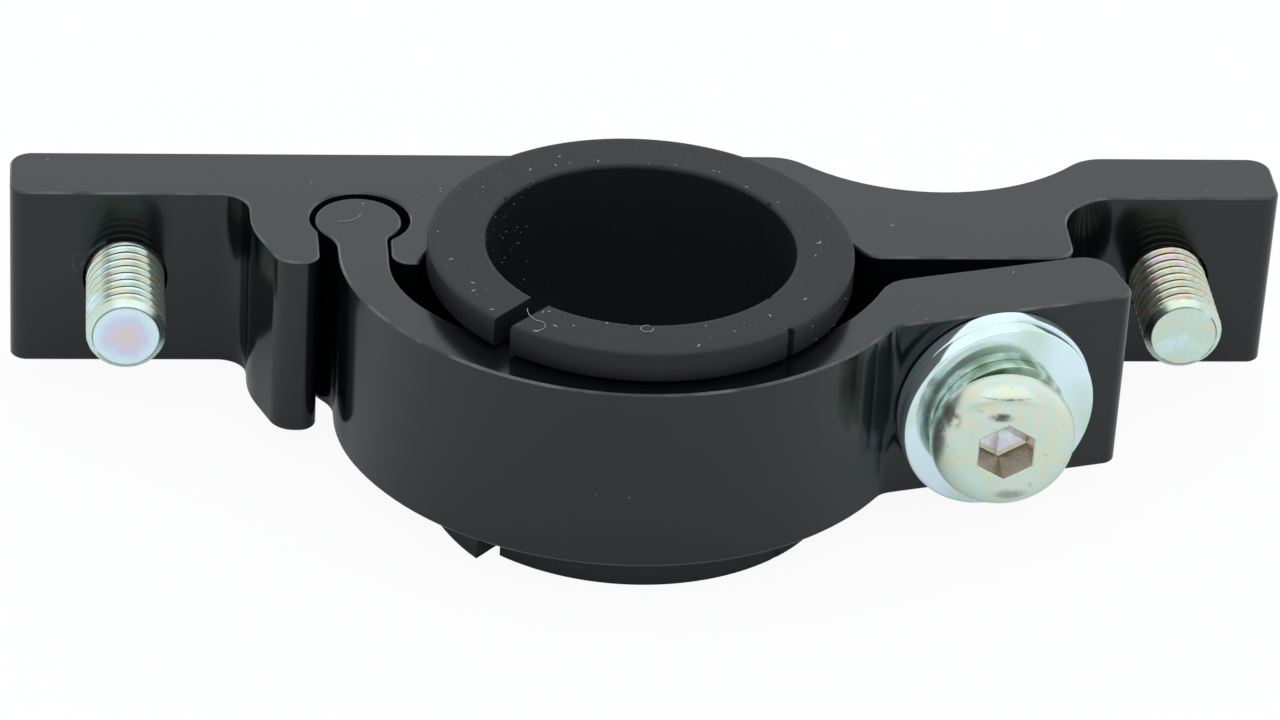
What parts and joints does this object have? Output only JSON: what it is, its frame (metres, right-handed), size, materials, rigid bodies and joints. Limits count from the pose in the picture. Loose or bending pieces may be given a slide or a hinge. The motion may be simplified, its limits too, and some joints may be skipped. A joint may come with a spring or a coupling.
{
  "type": "bottle cage adapter",
  "caption": "Hinged black aluminium tube clamp with a flanged rubber sleeve, a tilted washer stack and bolts for a bottle cage.",
  "frame": {"origin": "on the axis of the clamped tube, at mid height of the clamp", "axes": "+Z along the clamped tube, +X from the hinge towards the clamp bolt, +Y from the tube towards the cage"},
  "size_m": [0.0774, 0.0304, 0.016],
  "materials": {
    "black_anodised": "satin",
    "sleeve_rubber": "matte",
    "zinc_plated": "satin"
  },
  "bodies": {
    "base": {"base_bracket": "black_anodised", "rubber_sleeve": "sleeve_rubber"},
    "arm": {"clamp_arm": "black_anodised"},
    "bolt_stack": {"clamp_bolt": "zinc_plated", "lock_washer": "zinc_plated", "front_washer": "zinc_plated", "rear_washer": "zinc_plated"},
    "left_cage_bolt": {"cage_bolt_left": "zinc_plated"},
    "right_cage_bolt": {"cage_bolt_right": "zinc_plated"}
  },
  "joints": [
    {"name": "arm_hinge", "type": "hinge", "parent": "base", "child": "arm", "pos_m": [-0.01642, 0.00605, 0], "axis": [0, 0, -1], "range_deg": [0, 11]},
    {"name": "clamp_bolt_travel", "type": "slide", "parent": "base", "child": "bolt_stack", "axis": [0, -1, 0], "range_m": [0, 0.0085]},
    {"name": "left_bolt_travel", "type": "slide", "parent": "base", "child": "left_cage_bolt", "axis": [0, 1, 0], "range_m": [0, 0.0105]},
    {"name": "right_bolt_travel", "type": "slide", "parent": "base", "child": "right_cage_bolt", "axis": [0, 1, 0], "range_m": [0, 0.0105]}
  ],
  "couplings": [
    {"joint": "clamp_bolt_travel", "follows": "arm_hinge", "m_per_rad": 0.0435}
  ]
}
